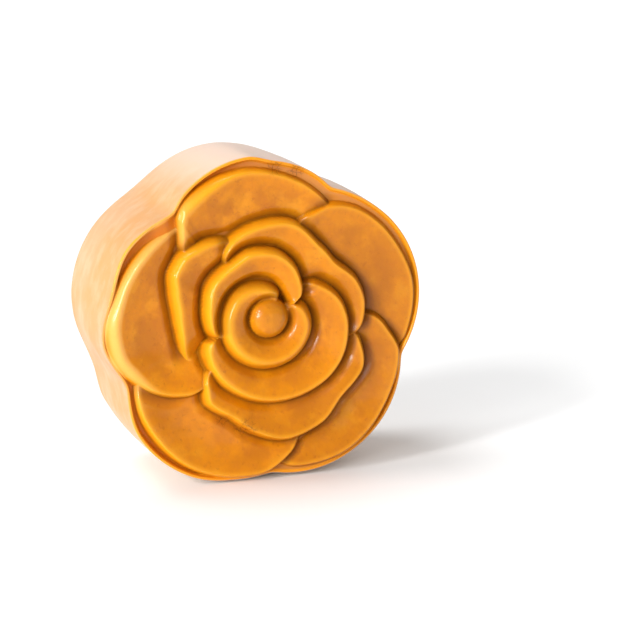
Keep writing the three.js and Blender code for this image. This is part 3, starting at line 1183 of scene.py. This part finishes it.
    def masks(self, points: Array, front_count: int) -> dict[str, Array]:
        """Masks that the finish reads, one value for each point.

        Args:
            points: Places of the points.
            front_count: How many of them lie on the front, which come first.

        Returns:
            the painted shade in the nearby hollows, the painted shade beside the petals, gold, partly
            painted light, and amber on them, groove, lip, side on the wall and the base, pale painted
            light at the left, cracked where the crust is, and painted shade in the outer bowls at the
            right.
        """
        painted_light_and_cracks = self.painted_light_and_cracks
        x, y, z = points[:front_count].T
        rose = self.front(x, z)
        direction, reach = direction_of(x, z), np.hypot(x, z)
        inset = self.body.reach(direction, np.zeros_like(x)) - reach
        lip = smoothstep(inset, *painted_light_and_cracks.lip_insets)
        inner = 1.0 - lip
        front = {
            # Painted shade in the hollows between the petals.
            "seam": smoothstep(self.hollow(x, z, -y), *painted_light_and_cracks.seam_depths) * inner,
            # Painted shade beside the petals and the bud, strongest at the right, away from the
            # light.
            "shade": rose.shade * inner * painted_light_and_cracks.shading(direction, rose.bare),
            "gold": rose.gold * inner,
            "amber": rose.amber * inner,
            "groove": rose.bare * inner,
            "lip": lip,
            "side": np.zeros(front_count),
            "pale": painted_light_and_cracks.pale(direction, inset, rose.gold, lip),
            "cracked": painted_light_and_cracks.cracked(x, z),
            # Painted shade on the outer bowls at the right, away from the light.
            "baked": painted_light_and_cracks.baked(direction, reach),
        }
        rest = len(points) - front_count
        back = {key: np.zeros(rest) for key in front}
        back["side"] = smoothstep(points[front_count:, 1], *painted_light_and_cracks.side_depths)
        back["lip"] = np.ones(rest)
        return {key: np.concatenate([front[key], back[key]]) for key in front}

    def slants(self, points: Array, front_count: int) -> Array:
        """Normals of the front from its height a step to either side, and none elsewhere.

        Args:
            points: Places of the points.
            front_count: How many of them lie on the front.

        Returns:
            Normals, which are 0 where the mesh's own are kept.
        """
        x, _, z = points[:front_count].T
        step = self.slant_step
        across = (self.front(x + step, z).height - self.front(x - step, z).height) / (2.0 * step)
        upward = (self.front(x, z + step).height - self.front(x, z - step).height) / (2.0 * step)
        normals = np.zeros_like(points)
        facing = np.stack([-across, -np.ones_like(x), -upward], axis=-1)
        normals[:front_count] = facing / np.linalg.norm(facing, axis=-1, keepdims=True)
        return normals

    def uneven(self, points: Array, front_count: int) -> Array:
        """Moves the wall and the base a little along their reach.

        Args:
            points: Places of the points.
            front_count: How many of them lie on the front.

        Returns:
            The moved points.
        """
        moved = points.copy()
        back = points[front_count:]
        reach = np.maximum(np.hypot(back[:, 0], back[:, 2]), 1.0)
        scale = 1.0 - self.unevenness.on_wall(back, self.body.ground) / reach
        moved[front_count:, 0] *= scale
        moved[front_count:, 2] *= scale
        return moved

    def build(self, offset: Vector, finish: "CrustFinish") -> bpy.types.Object:
        """Makes the mesh and dresses it.

        Args:
            offset: Move from the working frame to the part's, in millimetres.
            finish: The crust's finish.

        Returns:
            The cake.
        """
        shell = self.shell()
        points = (shell.points + np.array(offset)) * MM
        faces = [*shell.triangles.tolist(), *shell.quads.tolist()]
        mesh = bpy.data.meshes.new(self.name)
        mesh.from_pydata(points.tolist(), [], faces)
        for key, values in shell.masks.items():
            attribute = mesh.attributes.new(key, "FLOAT", "POINT")
            attribute.data.foreach_set("value", values.astype(np.float32))
        mesh.validate()
        mesh.shade_smooth()
        mesh.normals_split_custom_set_from_vertices(shell.normals.tolist())
        cake = bpy.data.objects.new(self.name, mesh)
        bpy.context.scene.collection.objects.link(cake)
        mesh.materials.append(finish.material())
        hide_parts(self.node)
        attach(cake, "root")
        return cake


# Finishes


class NodeSheet:
    """A node tree being drawn up, with helpers that add a node and wire it in one go.

    A Mix node has inputs and outputs of the same names for numbers and for colours, so they go by
    their places.
    """

    number_inputs = (2, 3)
    colour_inputs = (6, 7)
    colour_output = 2
    noise_roughness = 0.55

    def __init__(self, tree: bpy.types.NodeTree) -> None:
        """Takes the tree to draw in.

        Args:
            tree: A material's or a group's node tree.
        """
        self.tree = tree

    def add(self, kind: str, wires: Wires, **settings: object) -> bpy.types.Node:
        """Adds a node.

        Args:
            kind: Blender's name of the node type.
            wires: Input names or numbers, each with a value or an output to link.
            settings: Properties of the node.

        Returns:
            The node.
        """
        node = self.tree.nodes.new(kind)
        for key, value in settings.items():
            setattr(node, key, value)
        for key, value in wires.items():
            socket = node.inputs[key]
            if isinstance(value, Socket):
                self.tree.links.new(value, socket)
            else:
                socket.default_value = value
        return node

    def mask(self, name: str) -> Socket:
        """Output of a mask stored on the mesh."""
        return self.add("ShaderNodeAttribute", {}, attribute_name=name).outputs["Fac"]

    def math(self, operation: str, *values: object) -> Socket:
        """Output of a Math node, clamped to 0 to 1.

        Args:
            operation: The operation's name.
            values: Its numbers or outputs.

        Returns:
            The result.
        """
        wires = dict(enumerate(values))
        node = self.add("ShaderNodeMath", wires, operation=operation, use_clamp=True)
        return node.outputs[0]

    def times(self, value: object, share: object) -> Socket:
        """Output of a product, clamped to 0 to 1."""
        return self.math("MULTIPLY", value, share)

    def ramp(self, value: Socket, span: Span) -> Socket:
        """Output of a Map Range node, eased.

        Args:
            value: The value to map.
            span: Where the result is 0, and where it is 1.

        Returns:
            The mapped value.
        """
        wires = {"Value": value, "From Min": span[0], "From Max": span[1]}
        node = self.add("ShaderNodeMapRange", wires, interpolation_type="SMOOTHSTEP")
        return node.outputs["Result"]

    def mix(self, share: object, first: object, second: object) -> Socket:
        """Output of a mix of numbers, from the first at 0 to the second at 1.

        Args:
            share: Share of the second number.
            first: First number.
            second: Second number.

        Returns:
            The mixed number.
        """
        wires = {0: share, **dict(zip(self.number_inputs, (first, second)))}
        return self.add("ShaderNodeMix", wires).outputs[0]

    def blend(self, share: object, first: object, second: object) -> Socket:
        """Output of a mix of colours, from the first at 0 to the second at 1.

        Args:
            share: Share of the second colour.
            first: First colour.
            second: Second colour.

        Returns:
            The mixed colour.
        """
        wires: Wires = {0: share}
        for key, value in zip(self.colour_inputs, (first, second)):
            wires[key] = value if isinstance(value, Socket) else (*value, 1.0)
        return self.add("ShaderNodeMix", wires, data_type="RGBA").outputs[self.colour_output]

    def tint(self, ground: object, mask: Socket, strength: float, colour: object) -> Socket:
        """Output of a ground with a colour laid on it, as far as a mask and a strength say."""
        return self.blend(self.times(mask, strength), ground, colour)

    def noise(self, place: Socket, size: float, detail: float) -> Socket:
        """Output of a Noise node.

        Args:
            place: Where the point is.
            size: About how large its lumps are, in metres.
            detail: How ragged they are.

        Returns:
            The noise.
        """
        wires = {
            "Vector": place,
            "Scale": 1.0 / size,
            "Detail": detail,
            "Roughness": self.noise_roughness,
        }
        return self.add("ShaderNodeTexNoise", wires).outputs["Fac"]


@dataclass(frozen=True)
class Spots:
    """Uneven spots: the size of their lumps in metres, their detail and the span of the noise."""

    size: float
    detail: float
    span: Span

    def drawn(self, sheet: NodeSheet, place: Socket) -> Socket:
        """Mask of the spots."""
        return sheet.ramp(sheet.noise(place, self.size, self.detail), self.span)


@dataclass(frozen=True)
class Cracks:
    """Thin cracks along the borders of small cells, whose places waver by a noise."""

    waver_scale: float = 900.0
    waver_detail: float = 3.0
    waver: float = 0.0012
    cell_scale: float = 650.0
    span: Span = (0.07, 0.01)
    strength: float = 0.75

    def lines(self, sheet: NodeSheet, place: Socket, cracked: Socket) -> Socket:
        """Draws the cracks where the mask lets them show.

        Args:
            sheet: The material's sheet.
            place: Where the point is.
            cracked: The mask of the cracked spots.

        Returns:
            How dark the crack is.
        """
        wires = {"Vector": place, "Scale": self.waver_scale, "Detail": self.waver_detail}
        wander = sheet.add("ShaderNodeTexNoise", wires).outputs["Color"]
        wires = {0: wander, "Scale": self.waver}
        sway = sheet.add("ShaderNodeVectorMath", wires, operation="SCALE").outputs[0]
        moved = sheet.add("ShaderNodeVectorMath", {0: place, 1: sway}, operation="ADD").outputs[0]
        wires = {"Vector": moved, "Scale": self.cell_scale}
        cells = sheet.add("ShaderNodeTexVoronoi", wires, feature="DISTANCE_TO_EDGE")
        line = sheet.ramp(cells.outputs["Distance"], self.span)
        return sheet.times(sheet.times(line, self.strength), cracked)


@dataclass(frozen=True)
class CrustFinish:
    """The baked crust: amber under an egg glaze on the front, and pale and matt on the wall.

    A mottle is spots, a strength and a colour, and a tint is the name of a mask, a strength and a
    colour. A noise is the size of its lumps and its detail. Places and sizes are in metres.
    """

    name: str = "baked crust"
    tan: Colour = srgb(188, 110, 8)
    amber: Colour = srgb(212, 128, 2)
    rose: Colour = srgb(186, 104, 26)
    freckle: Colour = srgb(160, 84, 12)
    # Colour of the painted shade on the outer bowls at the right.
    baked: Colour = srgb(140, 78, 8)
    # Gold of the flanks, partly painted light, and of some mottles.
    gold: Colour = srgb(230, 156, 26)
    # Colour of the painted shade beside the petals and round the bud.
    brown: Colour = srgb(122, 66, 8)
    # Colour of the painted shade in the creases, also used for the cracks.
    seam: Colour = srgb(92, 48, 4)
    patches: Spots = Spots(0.011, 4.0, (0.42, 0.6))
    mottles: tuple[tuple[Spots, float, Colour], ...] = (
        (Spots(0.004, 5.0, (0.35, 0.7)), 0.3, tan),
        (Spots(0.0016, 6.0, (0.42, 0.68)), 0.3, rose),
        (Spots(0.0055, 6.0, (0.5, 0.72)), 0.4, gold),
        (Spots(0.0011, 5.0, (0.58, 0.72)), 0.35, freckle),
    )
    # Tints: painted shade, and gold that is partly painted light.
    tints: tuple[tuple[str, float, Colour], ...] = (
        ("baked", 0.35, baked),
        ("gold", 0.9, gold),
        ("shade", 0.95, brown),
        ("seam", 0.4, seam),
    )

    groove: Colour = srgb(206, 134, 58)
    groove_red: Colour = srgb(208, 116, 26)
    groove_red_span: Span = (0.002, -0.014)
    groove_strength: float = 0.85
    lip: Colour = srgb(234, 150, 26)
    # Colour of the painted light on the flanks and the lip at the left.
    pale: Colour = srgb(226, 166, 84)
    pale_strength: float = 0.8
    cracks: Cracks = Cracks()
    crack_tint: float = 0.4

    wall: Colour = srgb(190, 150, 112)
    # Paler, cooler wall: painted light at the top, and the same tone near the bottom.
    wall_cool: Colour = srgb(200, 172, 148)
    wall_painted_sheen: Colour = srgb(222, 196, 180)
    # Painted sheen: a painted reflection of the white surroundings at the upper right of the wall.
    wall_pale: Colour = srgb(198, 168, 138)
    wall_warm: Colour = srgb(190, 141, 92)
    wall_patches: Spots = Spots(0.018, 6.0, (0.4, 0.62))
    streaks: Noise = (0.0034, 5.0)
    streak_scale: tuple[float, float, float] = (0.65, 1.0, 0.65)
    streak_span: Span = (0.4, 0.7)
    streak_strength: float = 0.4
    # Heights of the cooler top, which is painted light, and of the cooler bottom.
    cool_spans: tuple[Span, ...] = ((0.067, 0.076), (0.018, 0.004))
    # Painted sheen: its wavering noise, its rise, and the spans up and across where it lies.
    painted_sheen: Noise = (0.012, 4.0)
    painted_sheen_rise: float = 0.024
    painted_sheen_up_span: Span = (0.068, 0.086)
    painted_sheen_across_span: Span = (-0.024, 0.006)

    grain: Noise = (0.0007, 4.0)
    lumps: Noise = (0.0028, 3.0)
    lump_share: float = 0.6
    streak_share: float = 0.5
    relief_strength: float = 0.35
    relief_height: float = 0.0002
    roughness: float = 0.45
    specular: float = 0.05
    glaze: float = 0.55
    glaze_roughness: float = 0.19
    matt_side: float = 0.85
    matt_shade_span: Span = (0.5, 0.95)
    subsurface: float = 0.08
    subsurface_depth: float = 0.0015

    def front_colour(self, sheet: NodeSheet, place: Socket, across: Socket) -> Socket:
        """Colour of the front, laid layer by layer.

        Amber patches on tan come first, then the mottles, the tints of painted shade and of gold,
        partly painted light, the groove, the lip, the cracked spots and the pale left side, which is
        painted light.

        Args:
            sheet: The material's sheet.
            place: Where the point is.
            across: How far right it is.

        Returns:
            The colour.
        """
        patches = sheet.math("ADD", self.patches.drawn(sheet, place), sheet.mask("amber"))
        ground = sheet.blend(patches, self.tan, self.amber)
        for spots, strength, colour in self.mottles:
            ground = sheet.tint(ground, spots.drawn(sheet, place), strength, colour)
        for name, strength, colour in self.tints:
            ground = sheet.tint(ground, sheet.mask(name), strength, colour)
        groove, cracked = sheet.mask("groove"), sheet.mask("cracked")
        leftward = sheet.ramp(across, self.groove_red_span)
        floor = sheet.blend(leftward, self.groove, self.groove_red)
        ground = sheet.tint(ground, groove, self.groove_strength, floor)
        ground = sheet.blend(sheet.mask("lip"), ground, self.lip)
        ground = sheet.tint(ground, cracked, self.crack_tint, self.freckle)
        # The cracks are drawn in the colour of the painted crease shade.
        ground = sheet.blend(self.cracks.lines(sheet, place, cracked), ground, self.seam)
        # Painted light at the left, kept out of the groove.
        pale = sheet.times(sheet.mask("pale"), sheet.math("SUBTRACT", 1.0, groove))
        return sheet.tint(ground, pale, self.pale_strength, self.pale)

    def wall_colour(self, sheet: NodeSheet, place: Socket, streaks: Socket) -> Socket:
        """Colour of the wall and the base: warm patches, pale streaks, and cooler top and bottom.

        The cooler top is painted light, and a painted sheen lies at the upper right.

        Args:
            sheet: The material's sheet.
            place: Where the point is.
            streaks: The noise of the streaks.

        Returns:
            The colour.
        """
        across, _, up = sheet.add("ShaderNodeSeparateXYZ", {0: place}).outputs
        wall = sheet.blend(self.wall_patches.drawn(sheet, place), self.wall, self.wall_warm)
        drawn = sheet.ramp(streaks, self.streak_span)
        wall = sheet.tint(wall, drawn, self.streak_strength, self.wall_pale)
        # Cooler top, which is painted light, and cooler bottom.
        for span in self.cool_spans:
            wall = sheet.blend(sheet.ramp(up, span), wall, self.wall_cool)
        # Painted sheen: a painted reflection of the white surroundings at the upper right.
        uneven = sheet.times(sheet.noise(place, *self.painted_sheen), self.painted_sheen_rise)
        risen = sheet.math("ADD", up, uneven)
        rightward = sheet.ramp(across, self.painted_sheen_across_span)
        painted_sheen = sheet.times(rightward, sheet.ramp(risen, self.painted_sheen_up_span))
        return sheet.blend(painted_sheen, wall, self.wall_painted_sheen)

    def relief(self, sheet: NodeSheet, place: Socket, streaks: Socket) -> Socket:
        """Fine relief: grain mixed with lumps, and with the streaks on the wall.

        Args:
            sheet: The material's sheet.
            place: Where the point is.
            streaks: The noise of the streaks.

        Returns:
            The normal.
        """
        grain = sheet.noise(place, *self.grain)
        lumps = sheet.noise(place, *self.lumps)
        height = sheet.mix(self.lump_share, grain, lumps)
        drawn = sheet.times(sheet.mask("side"), self.streak_share)
        wires = {
            "Height": sheet.mix(drawn, height, streaks),
            "Strength": self.relief_strength,
            "Distance": self.relief_height,
        }
        return sheet.add("ShaderNodeBump", wires).outputs["Normal"]

    def glazed(self, sheet: NodeSheet) -> Socket:
        """Weight of the glaze, which is thin on the wall, in the creases and in deep shade.

        Args:
            sheet: The material's sheet.

        Returns:
            The full weight times 1 less the largest of the matt masks.
        """
        side = sheet.times(sheet.mask("side"), self.matt_side)
        matt = sheet.math("MAXIMUM", side, sheet.mask("seam"))
        matt = sheet.math("MAXIMUM", matt, sheet.ramp(sheet.mask("shade"), self.matt_shade_span))
        return sheet.times(sheet.math("SUBTRACT", 1.0, matt), self.glaze)

    def material(self) -> bpy.types.Material:
        """Draws up the material.

        Returns:
            The crust's material.
        """
        made = bpy.data.materials.new(self.name)
        made.use_nodes = True
        made.node_tree.nodes.clear()
        sheet = NodeSheet(made.node_tree)
        place = sheet.add("ShaderNodeTexCoord", {}).outputs["Object"]
        across = sheet.add("ShaderNodeSeparateXYZ", {0: place}).outputs[0]
        wires = {"Vector": place, "Scale": self.streak_scale}
        drawn = sheet.add("ShaderNodeMapping", wires).outputs[0]
        streaks = sheet.noise(drawn, *self.streaks)
        front = self.front_colour(sheet, place, across)
        wall = self.wall_colour(sheet, place, streaks)
        wires = {
            "Base Color": sheet.blend(sheet.mask("side"), front, wall),
            "Roughness": self.roughness,
            "Specular IOR Level": self.specular,
            "Coat Weight": self.glazed(sheet),
            "Coat Roughness": self.glaze_roughness,
            "Normal": self.relief(sheet, place, streaks),
            "Subsurface Weight": self.subsurface,
            "Subsurface Scale": self.subsurface_depth,
        }
        shader = sheet.add("ShaderNodeBsdfPrincipled", wires)
        sheet.add("ShaderNodeOutputMaterial", {"Surface": shader.outputs["BSDF"]})
        return made


@dataclass(frozen=True)
class FloorFinish:
    """Plain white paper."""

    name: str = "white paper"
    colour: Colour = srgb(252, 252, 252)
    roughness: float = 0.9

    def material(self) -> bpy.types.Material:
        """Draws up the material.

        Returns:
            The floor's material.
        """
        made = bpy.data.materials.new(self.name)
        made.use_nodes = True
        shader = made.node_tree.nodes["Principled BSDF"]
        shader.inputs["Base Color"].default_value = (*self.colour, 1.0)
        shader.inputs["Roughness"].default_value = self.roughness
        return made


# The studio


@dataclass(frozen=True)
class FarLamp:
    """A soft lamp far away: degrees left of the front, degrees up, its width and its strength."""

    name: str
    azimuth: float
    elevation: float
    width: float
    strength: float

    def build(self) -> None:
        """Hangs the lamp so that it shines from its azimuth and elevation."""
        place = toward(self.azimuth, self.elevation)
        lamp = bpy.data.lights.new(self.name, "SUN")
        lamp.angle = float(np.radians(self.width))
        lamp.energy = self.strength
        hung = bpy.data.objects.new(self.name, lamp)
        hung.location = place
        hung.rotation_euler = (-place).to_track_quat("-Z", "Y").to_euler()
        bpy.context.scene.collection.objects.link(hung)


@dataclass(frozen=True)
class Viewpoint:
    """The camera: where it stands round the middle of the lip, and where it puts that point."""

    azimuth: float = 19.0
    elevation: float = 12.3
    distance: float = 450.0
    focal: float = 1985.0
    picture: float = 640.0
    across: float = 269.7
    down: float = 326.8
    sensor: float = 36.0
    nearest: float = 0.01
    farthest: float = 50.0

    def build(self, target: Vector) -> bpy.types.Object:
        """Stands the camera.

        It looks at the target and is then turned by the least angle that puts the target at the
        asked point of the picture.

        Args:
            target: The middle of the lip, in metres.

        Returns:
            The camera.
        """
        back = toward(self.azimuth, self.elevation)
        facing = (-back).to_track_quat("-Z", "Y")
        half = self.picture / 2.0
        ray = Vector(((self.across - half) / self.focal, (half - self.down) / self.focal, -1.0))
        turn = ray.rotation_difference(Vector((0.0, 0.0, -1.0)))
        lens = bpy.data.cameras.new("camera")
        lens.sensor_width = self.sensor
        lens.lens = self.focal * self.sensor / self.picture
        lens.clip_start = self.nearest
        lens.clip_end = self.farthest
        camera = bpy.data.objects.new("camera", lens)
        camera.rotation_mode = "QUATERNION"
        camera.location = target + back * self.distance * MM
        camera.rotation_quaternion = facing @ turn
        bpy.context.scene.collection.objects.link(camera)
        bpy.context.scene.camera = camera
        return camera


@dataclass(frozen=True)
class Studio:
    """Plain pale floor, white surroundings and soft lamps."""

    floor_radius: float = 4.0
    floor_corners: int = 64
    backdrop: float = 1.0
    ambient: float = 0.4
    floor: FloorFinish = field(default_factory=FloorFinish)
    lamps: tuple[FarLamp, ...] = (
        FarLamp("window, lower pane", 62.0, 4.0, 9.0, 0.85),
        FarLamp("window, middle pane", 62.0, 18.0, 9.0, 0.85),
        FarLamp("window, upper pane", 62.0, 32.0, 9.0, 0.85),
        FarLamp("window, near pane", 52.0, 10.0, 9.0, 0.6),
        FarLamp("side window", 96.0, 10.0, 16.0, 1.2),
        FarLamp("front", 42.0, 16.0, 28.0, 0.7),
        FarLamp("back", 205.0, 30.0, 60.0, 0.5),
        FarLamp("top", 120.0, 66.0, 30.0, 1.1),
    )

    def build(self) -> None:
        """Lays the floor, hangs the lamps and sets the surroundings."""
        turns = np.linspace(0.0, FULL_TURN, self.floor_corners + 1)[:-1]
        rim = np.stack([cosine(turns), sine(turns), np.zeros_like(turns)], axis=1)
        mesh = bpy.data.meshes.new("floor")
        mesh.from_pydata((rim * self.floor_radius).tolist(), [], [list(range(self.floor_corners))])
        mesh.materials.append(self.floor.material())
        floor = bpy.data.objects.new("floor", mesh)
        bpy.context.scene.collection.objects.link(floor)
        for lamp in self.lamps:
            lamp.build()
        world = bpy.data.worlds.new("surroundings")
        world.use_nodes = True
        sheet = NodeSheet(world.node_tree)
        seen = sheet.add("ShaderNodeLightPath", {}).outputs["Is Camera Ray"]
        strength = sheet.mix(seen, self.ambient, self.backdrop)
        back = world.node_tree.nodes["Background"]
        back.inputs["Color"].default_value = (1.0, 1.0, 1.0, 1.0)
        world.node_tree.links.new(strength, back.inputs["Strength"])
        bpy.context.scene.world = world
        bpy.context.scene.view_settings.view_transform = "Standard"


def main() -> None:
    """Builds the cake, the studio and the camera, and logs the cake and the camera."""
    logging.basicConfig(level=logging.INFO, format="%(message)s")
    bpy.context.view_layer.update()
    cake = Mooncake()
    body = cake.body
    middle_back = (body.thickness - cake.rose.bud_crest) / 2.0
    offset = Vector((-body.middle_across(), -middle_back, -body.ground))
    built = cake.build(offset, CrustFinish())
    counts = len(built.data.vertices), len(built.data.polygons)
    LOG.info("%s: %d points, %d faces", built.name, *counts)
    LOG.info("petals: %s", ", ".join(petal.name for petal in cake.rose.petals))

    target = offset * MM
    Studio().build()
    camera = Viewpoint().build(target)
    LOG.info("camera at %s", [round(value, 4) for value in camera.location])


if __name__ == "__main__":
    main()
